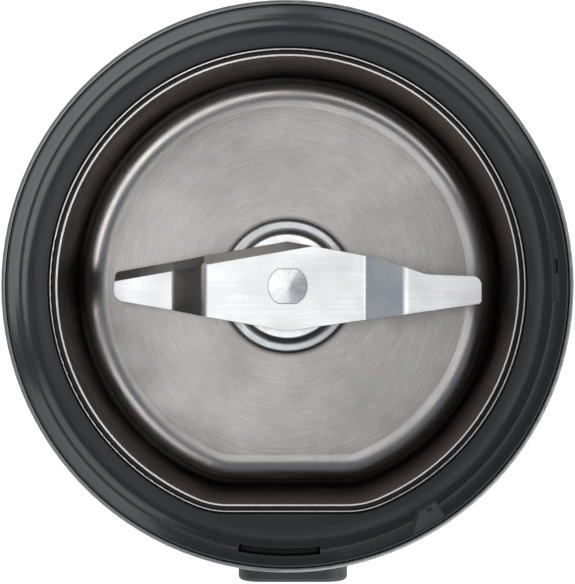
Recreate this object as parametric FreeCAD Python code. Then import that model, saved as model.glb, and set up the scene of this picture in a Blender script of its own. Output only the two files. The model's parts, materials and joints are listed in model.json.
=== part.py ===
import FreeCAD, Part
import math
import os

# An electric spice grinder, seen with its lid off. Millimetres, +Z up.
# The origin is the centre of the foot ring, at the surface that it stands on, +X is to the right
# of somebody who faces the start button, and the button looks towards -Y.

Vec = FreeCAD.Vector
UP = Vec(0, 0, 1)

# Fits
press_clearance = 0.02
running_clearance = 0.03
slide_clearance = 0.3
gap = 0.3
contact_gap = 0.05
sleeve_clearance = 0.15
pin_clearance = 0.1
floor_clearance = 0.4
fan_clearance = 3.0
motor_clearance = 6.15

# Outside
outer_radius = 45.0
rim_height = 125.0
front_angle = -90.0
sleeve_wall = 0.6
sleeve_lip = 0.65
lip_round = 0.35
barrel_wall = 2.1
base_height = 16.0
base_wall = 2.2
base_round = 2.0
plate_thickness = 2.0

# Lid well in the top collar
well_depth = 12.0
well_wall = 1.05
well_entry = 0.75
well_entry_height = 2.6
crease_height = 4.0
crease_width = 0.5
cove_width = 2.6
collar_plate = 1.8
collar_skirt = 3.0
spigot_wall = 1.4
spigot_depth = 6.0
socket_wall = 1.3

# Lid lock details in the wall of the well
bayonet_angle = -71.0
bayonet_span = 17.0
bayonet_depth = 0.6
lock_depth = 0.6
stop_angle = -59.5
stop_span = 8.0
stop_ramp = 4.0
stop_thickness = 2.0
stop_notch = 0.75
keeper_angle = 4.3
keeper_span = 14.4
keeper_thickness = 0.95
keeper_bar = 0.35
keeper_height = 3.0
slot_angle = -91.8
slot_span = 17.6
slot_lead = 0.9
slot_width = 1.4

# Bowl, a D seen from above with its flat towards the button
ledge_width = 5.8
bowl_flat_inset = 2.0
bowl_corner = 13.0
bowl_depth = 38.2
bowl_sheet = 0.6
floor_round = 5.0
flange_width = 1.35
flange_height = 1.3
flange_proud = 0.2
channel_width = 0.65
channel_depth = 0.9
ridge_width = 0.4
ridge_round = 0.14
bowl_base_height = 16.4
bowl_base_wall = 2.0
bowl_base_rise = 2.6

# Bearing through the bowl's floor
housing_spigot_radius = 8.0
housing_flange_radius = 12.0
housing_flange_height = 1.2
housing_top_radius = 9.0
housing_rise = 7.0
housing_below = 7.5
cap_radius = 9.4
cap_thickness = 1.0
bush_radius = 6.0
seal_height = 2.0
nut_across_flats = 20.0
nut_height = 3.4

# Blade and its spindle
spindle_radius = 3.4
spindle_flats = 6.0
spindle_point = 0.45
spindle_nose = 0.8
thread_radius = 2.0
spacer_radius = 5.6
spacer_height = 3.95
blade_thickness = 1.5
blade_half_width = 7.8
blade_bend_radius = 1.2
blade_bevel = 1.6
blade_edge_land = 0.4
bevel_runout = 6.0
right_tip = 33.5
right_bend = 13.6
right_run = 6.9
right_rise = 22.0
right_neck = 15.7
right_neck_drop = 2.9
right_shoulder = 24.0
right_tip_low = 3.0
right_tip_high = 1.7
left_tip = 30.9
left_bend = 14.3
left_run = 5.5
left_drop = 48.0
left_tip_low = 2.4
left_tip_high = 2.5

# Dog coupling between motor and bowl
dog_count = 3
dog_span = 42.0
dog_inner = 5.2
dog_outer = 9.0
dog_height = 3.5
coupling_plate = 2.6
coupling_gap = 0.4
coupling_nut_flats = 7.4
coupling_nut_height = 2.4

# Motor, from its upper bracket down
deck_thickness = 2.5
deck_hole = 11.0
deck_shoulder = 1.5
deck_shoulder_height = 3.0
deck_rib_count = 8
deck_rib_width = 1.6
deck_rib_height = 3.0
deck_rib_inner = 25.0
isolator_radius = 5.0
isolator_thickness = 1.5
bracket_thickness = 2.0
bracket_arm = 9.0
bracket_hub_radius = 8.0
post_radius = 3.4
bearing_radius = 5.5
bearing_length = 4.4
bearing_bulge = 0.7
shaft_radius = 2.5
shaft_cover = 1.0
shaft_end = 0.8
stator_round = 6.0
stator_shape = 0.75
stator_yoke = 5.0
pole_width = 16.0
pole_shoe = 2.6
pole_span = 118.0
armature_share = 0.25
air_gap = 0.4
armature_slots = 12
slot_opening = 1.3
slot_round = 1.9
slot_depth = 4.0
winding_height = 3.5
winding_setback = 1.6
winding_gap = 0.7
commutator_radius = 8.5
commutator_length = 6.0
commutator_groove = 0.5
field_coil_width = 5.4
field_coil_end = 3.6
motor_screw_inset = 3.5
motor_screw_radius = 1.9
motor_screw_head = 3.5
motor_screw_head_height = 2.4
brush_width = 5.0
brush_height = 4.0
brush_length = 8.0
brush_spring_length = 7.0
holder_wall = 0.6
holder_setback = 1.8
fan_setback = 4.0
fan_height = 4.6
fan_disc = 1.0
fan_blades = 9
fan_hub = 5.0
fan_gap = 1.0

# Base
foot_inset = 11.8
foot_width = 4.6
foot_height = 2.5
foot_recess = 1.0
base_screw_count = 3
base_screw_inset = 8.0
base_screw_radius = 1.5
base_screw_head = 3.0
base_screw_length = 16.0
boss_wall = 1.9
boss_height = 20.0
vent_count = 14
vent_width = 2.0
vent_length = 9.0
vent_land = 4.5
exhaust_length = 5.0
exhaust_land = 1.1
cord_radius = 3.05
bush_wall = 1.2
bush_flange = 1.0
bush_flange_thickness = 1.5

# Start button and its switch
button_x = 0.9
button_width = 18.2
button_height = 22.0
button_corner = 4.0
button_proud = 4.1
button_crown = 0.8
button_wall = 1.4
button_drop = 18.5
button_travel = 1.5
button_skirt_gap = 0.3
guide_thickness = 1.2
guide_margin = 0.9
guide_overhang = 1.0
stem_radius = 1.8
stem_rise = 5.5
hook_offset = 7.6
hook_thickness = 1.2
hook_height = 6.0
hook_barb = 0.8
button_spring_radius = 3.0
button_spring_turns = 4
button_spring_wire = 0.5
wire_sides = 10
switch_depth = 2.6
switch_width = 12.0
start_switch_height = 8.0
start_plunger_radius = 1.0

# Lid interlock
interlock_travel = 1.5
interlock_head_height = 2.0
slider_clearance = 0.15
interlock_bridge = 2.0
interlock_leg_width = 5.0
interlock_leg_thickness = 1.7
interlock_leg_length = 3.5
interlock_switch_height = 6.5
interlock_plunger_radius = 0.9
interlock_spring_radius = 1.15
interlock_spring_wire = 0.35
interlock_spring_turns = 4
interlock_spring_offset = 4.6

# Suppression capacitor on the base plate
capacitor_width = 8.0
capacitor_length = 18.0
capacitor_height = 14.0
capacitor_inset = 3.4

# Heights and radii that follow from the sizes above
sleeve_inner = outer_radius - sleeve_wall
barrel_outer = sleeve_inner - sleeve_clearance
barrel_inner = barrel_outer - barrel_wall
plate_top = foot_height + plate_thickness
foot_outer = outer_radius - foot_inset
foot_inner = foot_outer - foot_width
exhaust_outer = foot_inner - exhaust_land
exhaust_inner = exhaust_outer - exhaust_length
vent_outer = exhaust_inner - vent_land
vent_inner = vent_outer - vent_length
base_screw_circle = outer_radius - base_screw_inset
cord_height = plate_top + base_round / 2 + cord_radius + bush_wall + bush_flange + 0.1
ledge_z = rim_height - well_depth
collar_top = rim_height - lip_round
collar_bottom = ledge_z - collar_skirt
well_radius = barrel_outer - well_wall
slot_inner = well_radius - slot_lead
bowl_radius = well_radius - ledge_width
bowl_flat = bowl_radius - bowl_flat_inset
crease_z = ledge_z + crease_height
crease_radius = well_radius - crease_width
cove_radius = crease_radius - cove_width
socket_offset = bowl_sheet + slide_clearance
seat_z = ledge_z + flange_proud - flange_height
flange_top = seat_z + flange_height
bowl_floor = flange_top - bowl_depth
bowl_under = bowl_floor - bowl_sheet
deck_top = bowl_under - bowl_base_height
deck_under = deck_top - deck_thickness
housing_top = bowl_floor + housing_rise
housing_bottom = bowl_floor - housing_below
cap_top = housing_top + cap_thickness
spacer_bottom = cap_top + gap
blade_bottom = spacer_bottom + spacer_height
blade_top = blade_bottom + blade_thickness
driven_top = housing_bottom - coupling_gap
driven_bottom = driven_top - coupling_plate
drive_top = driven_bottom - coupling_gap
drive_face = drive_top - dog_height
bracket_top = deck_under - isolator_thickness
upper_bearing_bottom = bracket_top - bearing_length
upper_winding_top = upper_bearing_bottom - winding_gap
stack_top = upper_winding_top - winding_height
fan_bottom = plate_top + fan_clearance
fan_top = fan_bottom + fan_height
lower_bracket_bottom = fan_top + fan_gap
lower_bracket_top = lower_bracket_bottom + bracket_thickness
lower_bearing_top = lower_bracket_bottom + bearing_length
commutator_bottom = lower_bearing_top + winding_gap
commutator_top = commutator_bottom + commutator_length
lower_winding_bottom = commutator_top + winding_gap
stack_bottom = lower_winding_bottom + winding_height
stator_lean = math.atan2(1.0, stator_shape)
stator_corner = barrel_inner - motor_clearance - stator_round
stator_width = 2 * (stator_corner * math.cos(stator_lean) + stator_round)
stator_length = 2 * (stator_corner * math.sin(stator_lean) + stator_round)
motor_screw_x = stator_width / 2 - motor_screw_inset
motor_screw_y = stator_length / 2 - motor_screw_inset
armature_radius = armature_share * stator_length
slot_circle = armature_radius - slot_depth
winding_radius = armature_radius - winding_setback
fan_radius = stator_width / 2 - fan_setback
stator_bore = armature_radius + air_gap
socket_flat_y = -(bowl_flat + socket_offset + socket_wall)
button_top = rim_height - button_drop
button_bottom = button_top - button_height
button_mid = (button_top + button_bottom) / 2
guide_top = button_top + guide_margin
guide_bottom = button_bottom - guide_margin
guide_outer_y = -(barrel_inner + 0.2 * barrel_wall)
guide_inner_y = guide_outer_y + guide_thickness
button_front_y = -(outer_radius + button_proud)
switch_front_y = socket_flat_y - switch_depth
stem_z = button_bottom + stem_rise
stem_tip_y = switch_front_y - button_travel - 2 * contact_gap
interlock_x = slot_inner * math.cos(math.radians(slot_angle))
interlock_under = ledge_z - collar_plate - gap - interlock_bridge
interlock_top = interlock_under + interlock_bridge + interlock_head_height
leg_bottom = interlock_under - interlock_leg_length
interlock_switch_top = leg_bottom - interlock_travel


def point(radius, degrees, z=0.0):
    """The point at a radius and angle about Z."""
    turn = math.radians(degrees)
    return Vec(radius * math.cos(turn), radius * math.sin(turn), z)


def box(x0, x1, y0, y1, z0, z1):
    """A block between two corners."""
    return Part.makeBox(x1 - x0, y1 - y0, z1 - z0, Vec(x0, y0, z0))


def rod(radius, z0, z1, x=0.0, y=0.0):
    """An upright cylinder."""
    return Part.makeCylinder(radius, z1 - z0, Vec(x, y, z0), UP)


def tube(outer, inner, z0, z1, x=0.0, y=0.0):
    """An upright tube."""
    return rod(outer, z0, z1, x, y).cut(rod(inner, z0 - 1, z1 + 1, x, y))


def rod_y(radius, y0, y1, x, z):
    """A cylinder that lies along Y."""
    return Part.makeCylinder(radius, y1 - y0, Vec(x, y0, z), Vec(0, 1, 0))


def round_copies(shape, count, first=0.0):
    """Copies of a shape turned evenly about Z."""
    copies = []
    for i in range(count):
        copy = shape.copy()
        copy.rotate(Vec(0, 0, 0), UP, first + 360.0 * i / count)
        copies.append(copy)
    return copies


def mirrored_x(shape):
    """The shape reflected across the YZ plane."""
    return shape.mirror(Vec(0, 0, 0), Vec(1, 0, 0))


def rounded_wire(corners, place):
    """A closed wire through (u, v, radius) corners, where place turns u and v into a point."""
    starts = []
    middles = []
    ends = []
    for i, (u, v, radius) in enumerate(corners):
        here = Vec(u, v, 0)
        before = Vec(corners[i - 1][0], corners[i - 1][1], 0) - here
        after = Vec(corners[(i + 1) % len(corners)][0], corners[(i + 1) % len(corners)][1], 0) - here
        before.normalize()
        after.normalize()
        half = before.getAngle(after) / 2
        reach = radius / math.tan(half)
        inward = before + after
        if radius:
            inward.normalize()
        starts.append(here + before * reach)
        ends.append(here + after * reach)
        middles.append(here + inward * (radius / math.sin(half) - radius))
    edges = []
    for i, (u, v, radius) in enumerate(corners):
        if radius:
            arc = [place(p.x, p.y) for p in (starts[i], middles[i], ends[i])]
            edges.append(Part.Arc(*arc).toShape())
        follow = starts[(i + 1) % len(corners)]
        if (follow - ends[i]).Length > 1e-6:
            edges.append(Part.makeLine(place(ends[i].x, ends[i].y), place(follow.x, follow.y)))
    return Part.Wire(edges)


def turned(corners):
    """A solid of revolution from its (radius, z, rounding) corners."""
    face = Part.Face(rounded_wire(corners, lambda u, v: Vec(u, 0, v)))
    return face.revolve(Vec(0, 0, 0), UP, 360)


def upright(corners, z0, z1):
    """A prism from its (x, y, rounding) corners."""
    face = Part.Face(rounded_wire(corners, lambda u, v: Vec(u, v, z0)))
    return face.extrude(UP * (z1 - z0))


def across(corners, y0, y1):
    """A prism along Y from its (x, z, rounding) corners."""
    face = Part.Face(rounded_wire(corners, lambda u, v: Vec(u, y0, v)))
    return face.extrude(Vec(0, y1 - y0, 0))


def rounded_block(x_mid, width, z0, z1, corner, y0, y1):
    """A block along Y with rounded corners seen from the front."""
    x0 = x_mid - width / 2
    x1 = x_mid + width / 2
    corners = [(x0, z0, corner), (x1, z0, corner), (x1, z1, corner), (x0, z1, corner)]
    return across(corners, y0, y1)


def sector(inner, outer, z0, z1, middle, span):
    """A piece of a ring, from its middle angle and its span in degrees."""
    first = middle - span / 2
    last = middle + span / 2
    edges = [
        Part.Arc(point(outer, first, z0), point(outer, middle, z0), point(outer, last, z0)).toShape(),
        Part.makeLine(point(outer, last, z0), point(inner, last, z0)),
        Part.Arc(point(inner, last, z0), point(inner, middle, z0), point(inner, first, z0)).toShape(),
        Part.makeLine(point(inner, first, z0), point(outer, first, z0)),
    ]
    return Part.Face(Part.Wire(edges)).extrude(UP * (z1 - z0))


def d_wire(offset, z):
    """The D of the bowl, moved outwards by an offset."""
    radius = bowl_radius + offset
    flat = bowl_flat + offset
    corner = bowl_corner + offset
    centre_y = -(flat - corner)
    centre_x = math.sqrt((radius - corner) ** 2 - centre_y**2)
    centre = Vec(centre_x, centre_y, z)
    outward = Vec(centre_x, centre_y, 0)
    outward.normalize()
    halfway = outward + Vec(0, -1, 0)
    halfway.normalize()
    touch = Vec(outward.x * radius, outward.y * radius, z)
    middle = centre + halfway * corner
    flat_end = Vec(centre_x, -flat, z)
    mirror = [Vec(-p.x, p.y, p.z) for p in (touch, middle, flat_end)]
    edges = [
        Part.Arc(touch, Vec(0, radius, z), mirror[0]).toShape(),
        Part.Arc(mirror[0], mirror[1], mirror[2]).toShape(),
        Part.makeLine(mirror[2], flat_end),
        Part.Arc(flat_end, middle, touch).toShape(),
    ]
    return Part.Wire(edges)


def d_prism(offset, z0, z1):
    """A prism on the bowl's D."""
    return Part.Face(d_wire(offset, z0)).extrude(UP * (z1 - z0))


def d_pan(offset, z0, z1, rounding):
    """A prism on the bowl's D with a rounded lower edge."""
    block = d_prism(offset, z0, z1)
    low = [e for e in block.Edges if e.BoundBox.ZMax < z0 + 0.01]
    return block.makeFillet(rounding, low)


def double_d(radius, flats, z0, z1):
    """A rod with two flats that face front and back."""
    return rod(radius, z0, z1).common(box(-radius, radius, -flats / 2, flats / 2, z0, z1))


def keyed_bore(z0, z1):
    """The bore that is pressed on the spindle's flats."""
    return double_d(spindle_radius + press_clearance, spindle_flats + 2 * press_clearance, z0, z1)


def hexagon(across_flats, z0, z1):
    """A hexagonal prism about Z."""
    radius = across_flats / math.sqrt(3)
    corners = []
    for k in range(6):
        place = point(radius, 60.0 * k)
        corners.append((place.x, place.y, 0))
    return upright(corners, z0, z1)


def coil(radius, wire, length, turns):
    """A compression spring along Z from z = 0, with its ten-sided wire inside the length."""
    path = Part.Wire(Part.makeHelix((length - wire) / turns, length - wire, radius - wire / 2))
    path.translate(Vec(0, 0, wire / 2))
    ring = []
    for k in range(wire_sides):
        turn = 2 * math.pi * k / wire_sides
        across_wire = radius - wire / 2 + wire / 2 * math.cos(turn)
        ring.append(Vec(across_wire, 0, wire / 2 + wire / 2 * math.sin(turn)))
    return path.makePipeShell([Part.makePolygon(ring + ring[:1])], True, True)


# Base

def at_base_screws(shape):
    """Copies at the base screws, one of them under the button."""
    return round_copies(shape, base_screw_count, front_angle)


def base_cover():
    """A dish with a round lower edge, vents below the fan and room for foot ring, screws and cord."""
    body = turned(
        [
            (0, foot_height, 0),
            (outer_radius, foot_height, base_round),
            (outer_radius, base_height, 0),
            (outer_radius - base_wall, base_height, 0),
            (outer_radius - base_wall, plate_top, base_round / 2),
            (0, plate_top, 0),
        ]
    )
    intake = upright(
        [
            (vent_inner, -vent_width / 2, 0.4 * vent_width),
            (vent_outer, -vent_width / 2, 0.4 * vent_width),
            (vent_outer, vent_width / 2, 0.4 * vent_width),
            (vent_inner, vent_width / 2, 0.4 * vent_width),
        ],
        foot_height - 1,
        plate_top + 1,
    )
    exhaust_span = 0.45 * 360 / vent_count
    exhaust = sector(exhaust_inner, exhaust_outer, foot_height - 1, plate_top + 1, 0, exhaust_span)
    holes = round_copies(intake, vent_count)
    holes += round_copies(exhaust, vent_count)
    holes.append(tube(foot_outer, foot_inner, foot_height - 1, foot_height + foot_recess))
    holes += at_base_screws(rod(base_screw_radius + gap / 2, 0, plate_top + 1, base_screw_circle))
    sink = (base_screw_head + gap, foot_height - 1, foot_height + plate_thickness / 2, base_screw_circle)
    holes += at_base_screws(rod(*sink))
    bush_hole = cord_radius + bush_wall + gap / 2
    holes.append(rod_y(bush_hole, 0.8 * outer_radius, outer_radius + 1, 0, cord_height))
    return body.cut(holes)


def base_foot_ring():
    """Soft ring with rounded lower edges, sunk into the base."""
    inner = foot_inner + press_clearance
    outer = foot_outer - press_clearance
    top = foot_height + foot_recess
    return turned([(inner, 0, 0.8), (outer, 0, 0.8), (outer, top, 0), (inner, top, 0)])


def base_screws():
    """Self-tapping screws with a cross recess."""
    head_bottom = foot_height + 0.2
    head_top = foot_height + plate_thickness / 2
    screw = rod(base_screw_head, head_bottom, head_top)
    screw = screw.fuse(rod(base_screw_radius - press_clearance, head_top, head_top + base_screw_length))
    slot = box(-0.6 * base_screw_head, 0.6 * base_screw_head, -0.3, 0.3, head_bottom - 1, head_bottom + 0.4)
    turned_slot = slot.copy()
    turned_slot.rotate(Vec(0, 0, 0), UP, 90)
    screw = screw.cut([slot, turned_slot])
    screw.translate(Vec(base_screw_circle, 0, 0))
    return Part.makeCompound(at_base_screws(screw))


def cord_inlet_bush():
    """A soft bush whose groove holds it in the rear wall, with the cord's bore through it."""
    body_radius = cord_radius + bush_wall
    inner_y = outer_radius - base_wall - bush_flange_thickness
    outer_y = outer_radius + bush_flange_thickness
    body = rod_y(body_radius, inner_y, outer_y, 0, cord_height)
    for start in (inner_y, outer_radius):
        flange = rod_y(body_radius + bush_flange, start, start + bush_flange_thickness, 0, cord_height)
        body = body.fuse(flange)
    wall = tube(outer_radius, outer_radius - base_wall - gap, 0, base_height)
    ring = rod_y(body_radius + bush_flange + 1, inner_y, outer_radius, 0, cord_height)
    groove = wall.common(ring.cut(rod_y(body_radius, inner_y - 1, outer_y, 0, cord_height)))
    return body.cut([groove, rod_y(cord_radius, inner_y - 1, outer_y + 1, 0, cord_height)])


# Housing

def motor_screw_places():
    """The four corners of the motor, as x and y."""
    return [(sx * motor_screw_x, sy * motor_screw_y) for sx in (-1, 1) for sy in (-1, 1)]


def guide_window(margin):
    """The window that holds the button's guide plate, grown by a margin."""
    width = button_width + 2 * guide_overhang + 2 * margin
    args = (button_x, width, guide_bottom - margin, guide_top + margin, button_corner)
    return rounded_block(*args, -(barrel_outer + 1), -(barrel_inner - barrel_wall))


def guide_notch():
    """Room in the collar's spigot for the guide plate and what stands behind it."""
    half = button_width / 2 + guide_overhang + gap
    spigot_low = collar_bottom - spigot_depth
    inner_y = socket_flat_y - sleeve_clearance
    return box(button_x - half, button_x + half, -outer_radius, inner_y, spigot_low - 1, guide_top + gap)


def crank_room():
    """Room below the ledge for the interlock to step inwards."""
    low = interlock_under - interlock_travel - gap
    high = ledge_z - collar_plate
    inner = barrel_inner - barrel_wall - floor_clearance
    span = slot_span + math.degrees(2 * barrel_wall / barrel_inner) / 3
    return sector(inner, slot_inner + slot_width, low, high, slot_angle, span)


def housing_shell():
    """The barrel behind the sleeve, with the shoulder that carries the motor deck."""
    barrel = tube(barrel_outer, barrel_inner, base_height, collar_bottom)
    lower_outer = outer_radius - base_wall - slide_clearance
    spigot_low = plate_top + base_round / 2
    spigot = tube(lower_outer, lower_outer - barrel_wall, spigot_low, base_height + barrel_wall)
    shoulder_outer = barrel_inner + barrel_wall / 2
    shoulder_low = deck_under - deck_shoulder_height
    shoulder = tube(shoulder_outer, barrel_inner - deck_shoulder, shoulder_low, deck_under)
    shell = barrel.fuse([spigot.common(rod(barrel_outer, 0, rim_height)), shoulder])
    boss = rod(base_screw_radius + boss_wall, plate_top, plate_top + boss_height, base_screw_circle)
    web_low = plate_top + base_round / 2
    web_high = plate_top + boss_height
    web = box(base_screw_circle, lower_outer - 0.5, -boss_wall / 2, boss_wall / 2, web_low, web_high)
    shell = shell.fuse(at_base_screws(boss) + at_base_screws(web))
    depth = base_screw_length + plate_top
    holes = at_base_screws(rod(base_screw_radius, 0, depth, base_screw_circle))
    bush_room = cord_radius + bush_wall + bush_flange + gap
    holes.append(rod_y(bush_room, 0.8 * outer_radius, outer_radius + 1, 0, cord_height))
    holes.append(guide_window(0.0))
    holes.append(crank_room())
    return shell.cut(holes)


def motor_deck():
    """Round floor in the barrel, ribbed below, that carries the bowl and hangs the motor."""
    half = deck_rib_width / 2
    rib_end = barrel_inner - deck_shoulder - gap
    disc = rod(barrel_inner - press_clearance, deck_under, deck_top)
    rib = box(deck_rib_inner, rib_end, -half, half, deck_under - deck_rib_height, deck_under)
    deck = disc.fuse(round_copies(rib, deck_rib_count, 180.0 / deck_rib_count))
    holes = [rod(deck_hole, deck_under - 1, deck_top + 1)]
    for x, y in motor_screw_places():
        bore = motor_screw_radius + press_clearance
        holes.append(rod(bore, deck_under - 1, deck_top - floor_clearance, x, y))
    return deck.cut(holes)


def body_sleeve():
    """Thin brushed sleeve with a rolled upper edge and a window for the button."""
    lip_inner = outer_radius - sleeve_lip
    sleeve = turned(
        [
            (sleeve_inner, base_height, 0),
            (outer_radius, base_height, 0),
            (outer_radius, rim_height, lip_round),
            (lip_inner, rim_height, 0.6 * lip_round),
            (lip_inner, collar_top, 0),
            (sleeve_inner, collar_top, 0),
        ]
    )
    window_width = button_width + 2 * button_skirt_gap
    window_args = (button_bottom - button_skirt_gap, button_top + button_skirt_gap, button_corner)
    window_depth = button_width / 2
    window = rounded_block(
        button_x, window_width, *window_args, -(outer_radius + 1), -(sleeve_inner - window_depth)
    )
    return sleeve.cut(window)


def collar_ring():
    """The turned part of the collar: skirt, wall of the lid well, crease, cove and ledge."""
    plate_under = ledge_z - collar_plate
    spigot_outer = barrel_inner - press_clearance
    spigot_inner = spigot_outer - spigot_wall
    spigot_low = collar_bottom - spigot_depth
    entry_top = collar_top
    entry_low = entry_top - well_entry_height
    corners = [
        (0, plate_under, 0),
        (spigot_inner, plate_under, 0),
        (spigot_inner, spigot_low, 0),
        (spigot_outer, spigot_low, 0.4),
        (spigot_outer, collar_bottom, 0),
        (barrel_outer, collar_bottom, 0),
        (barrel_outer, entry_top, 0.1),
        (well_radius + well_entry, entry_top, 0.2),
        (well_radius, entry_low, 3.0 * well_entry),
        (well_radius, crease_z, 0),
        (crease_radius, crease_z, 0.2),
        (crease_radius - 0.25 * cove_width, ledge_z + 0.35 * crease_height, 1.2 * cove_width),
        (cove_radius - 0.4, ledge_z, 1.0),
        (0, ledge_z, 0),
    ]
    return turned(corners)


def lid_stop():
    """Block that stops the lid's turn, with one slanting side and a notch in its inner face."""
    inner = well_radius - stop_thickness
    outer = barrel_outer - sleeve_clearance
    first = stop_angle - stop_span / 2
    last = stop_angle + stop_span / 2
    top = collar_top - lock_depth
    places = [(inner, last), (outer, last), (outer, first), (inner, first + stop_ramp)]
    corners = [(point(r, turn).x, point(r, turn).y, 0) for r, turn in places]
    stop = upright(corners, crease_z, top)
    half = stop_notch / 2
    notch = box(inner - half, inner + stop_notch, -half, half, top - stop_thickness, top + 1)
    notch.rotate(Vec(0, 0, 0), UP, stop_angle + stop_span / 4)
    return stop.cut(notch)


def lid_keeper():
    """Low bar in the well's wall, hollowed behind its middle."""
    outer = barrel_outer - well_wall / 2
    top = crease_z + keeper_height
    keeper = sector(well_radius - keeper_thickness, outer, crease_z, top, keeper_angle, keeper_span)
    hollow_inner = well_radius - keeper_thickness + keeper_bar
    hollow_args = (crease_z + lock_depth, top + 1, keeper_angle, 0.2 * keeper_span)
    return keeper.cut(sector(hollow_inner, well_radius, *hollow_args))


def top_collar():
    """Gloss moulding: lid well, ledge, the D socket for the bowl and the lid's lock details."""
    collar = collar_ring()
    socket = d_prism(socket_offset + socket_wall, deck_top, ledge_z - collar_plate)
    collar = collar.fuse(socket)
    bayonet = (crease_z, rim_height, bayonet_angle, bayonet_span)
    slot_low = ledge_z - collar_plate - gap
    slot_high = crease_z + slot_width
    cuts = [
        d_prism(socket_offset, deck_top - 1, rim_height),
        d_prism(flange_width + slide_clearance, seat_z, rim_height),
        sector(well_radius - bayonet_depth, well_radius + bayonet_depth, *bayonet),
        sector(slot_inner, slot_inner + slot_width, slot_low, slot_high, slot_angle, slot_span),
        guide_notch(),
        crank_room(),
    ]
    return collar.cut(cuts).fuse([lid_stop(), lid_keeper()])


# Bowl

def bowl_outside():
    """The pressed pan of the bowl as a closed form."""
    return d_pan(bowl_sheet, bowl_under, flange_top, floor_round + bowl_sheet)


def rim_edges(shape, offsets):
    """The edges of a shape that lie on the bowl's D at some offsets, at the top of the flange."""
    wires = [d_wire(offset, flange_top) for offset in offsets]
    found = []
    for edge in shape.Edges:
        middle = Part.Vertex(edge.valueAt((edge.FirstParameter + edge.LastParameter) / 2))
        if min(middle.distToShape(wire)[0] for wire in wires) < 0.001:
            found.append(edge)
    return found


def grinding_bowl():
    """Pressed steel bowl, D-shaped, with a grooved rim of two fine round ridges."""
    flange = d_prism(flange_width, seat_z, flange_top)
    inside = d_pan(0, bowl_floor, flange_top + 1, floor_round)
    groove_inner = ridge_width
    groove_outer = ridge_width + channel_width
    groove = d_prism(groove_outer, flange_top - channel_depth, flange_top + 1)
    groove = groove.cut(d_prism(groove_inner, flange_top - channel_depth - 1, flange_top + 1))
    bowl = bowl_outside().fuse(flange)
    hole = rod(housing_spigot_radius + press_clearance, bowl_under - 1, bowl_floor + 1)
    bowl = bowl.cut([inside, groove, hole])
    return bowl.makeFillet(ridge_round, rim_edges(bowl, [0, groove_inner, groove_outer, flange_width]))


def bowl_base():
    """Moulded foot ring under the bowl, shaped to its rounded lower edge."""
    offset = bowl_sheet
    base = d_prism(offset, deck_top, bowl_under + bowl_base_rise)
    room = d_prism(offset - bowl_base_wall, deck_top - 1, bowl_under - bowl_base_wall)
    hole = rod(housing_spigot_radius + press_clearance, deck_top, bowl_floor)
    return base.cut([bowl_outside(), room, hole])


def bearing_housing():
    """Turned boss through the bowl's floor, clamped by the nut below."""
    body = turned(
        [
            (bush_radius + press_clearance, housing_bottom, 0),
            (housing_spigot_radius, housing_bottom, 0.5),
            (housing_spigot_radius, bowl_floor, 0),
            (housing_flange_radius, bowl_floor, 0),
            (housing_flange_radius, bowl_floor + housing_flange_height, 0.6),
            (housing_top_radius + 0.6, bowl_floor + housing_flange_height, 1.2),
            (housing_top_radius, housing_top, 0),
            (bush_radius + press_clearance, housing_top, 0),
        ]
    )
    return body


def bearing_nut():
    """Thin hexagon nut under the bowl's base plate."""
    top = bowl_under - bowl_base_wall
    nut = hexagon(nut_across_flats, top - nut_height, top)
    return nut.cut(rod(housing_spigot_radius + press_clearance, top - nut_height - 1, top + 1))


def hub_cap():
    """Bright disc on the bearing boss."""
    return turned(
        [
            (spindle_radius + gap, housing_top, 0),
            (cap_radius, housing_top, 0.2),
            (cap_radius, cap_top, 0.4),
            (spindle_radius + gap, cap_top, 0),
        ]
    )


def spindle_bush():
    """Sintered bush that the spindle runs in."""
    bore = spindle_radius + running_clearance
    return tube(bush_radius, bore, housing_bottom, housing_top - seal_height)


def spindle_seal():
    """Lip seal above the bush."""
    bore = spindle_radius + running_clearance
    low = housing_top - seal_height
    return turned(
        [
            (bore, low + 0.7 * seal_height, 0),
            (bore + 1.4, low, 0),
            (bush_radius, low, 0),
            (bush_radius, housing_top, 0),
            (bore, housing_top, 0),
        ]
    )


# Blade assembly

def blade_spindle():
    """Spindle with a double-D nose that rises to a shallow point, and a thread at its foot."""
    nose = turned(
        [
            (0, driven_bottom, 0),
            (spindle_radius, driven_bottom, 0),
            (spindle_radius, blade_top + spindle_nose, 0),
            (0, blade_top + spindle_nose + spindle_point, 0),
        ]
    )
    flat_from = spacer_bottom + 0.6 * spacer_height
    cuts = []
    for side in (-1, 1):
        edges = sorted((side * spindle_flats / 2, side * (spindle_radius + 1)))
        cuts.append(box(-5, 5, edges[0], edges[1], flat_from, blade_top + 5))
        cuts.append(box(-5, 5, edges[0], edges[1], driven_bottom - 1, driven_top))
    thread = rod(thread_radius, driven_bottom - coupling_nut_height - 0.4, driven_bottom)
    return nose.cut(cuts).fuse(thread)


def blade_spacer():
    """Collar that holds the blade above the bearing boss."""
    spacer = turned(
        [
            (0, spacer_bottom, 0),
            (spacer_radius, spacer_bottom, 0.3),
            (spacer_radius, blade_bottom, 0.5),
            (0, blade_bottom, 0),
        ]
    )
    flat_from = spacer_bottom + 0.6 * spacer_height
    bore = rod(spindle_radius + press_clearance, spacer_bottom - 1, flat_from)
    return spacer.cut([bore, keyed_bore(flat_from, blade_bottom + 1)])


def blade_path():
    """The bent middle line of the blade, from the left tip to the right tip, as x and z."""
    middle = (blade_bottom + blade_top) / 2
    low = middle - left_run * math.tan(math.radians(left_drop))
    high = middle + right_run * math.tan(math.radians(right_rise))
    return [
        (-left_tip - 1, low),
        (-left_bend - left_run, low),
        (-left_bend, middle),
        (right_bend, middle),
        (right_bend + right_run, high),
        (right_tip + 1, high),
    ]


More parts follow.
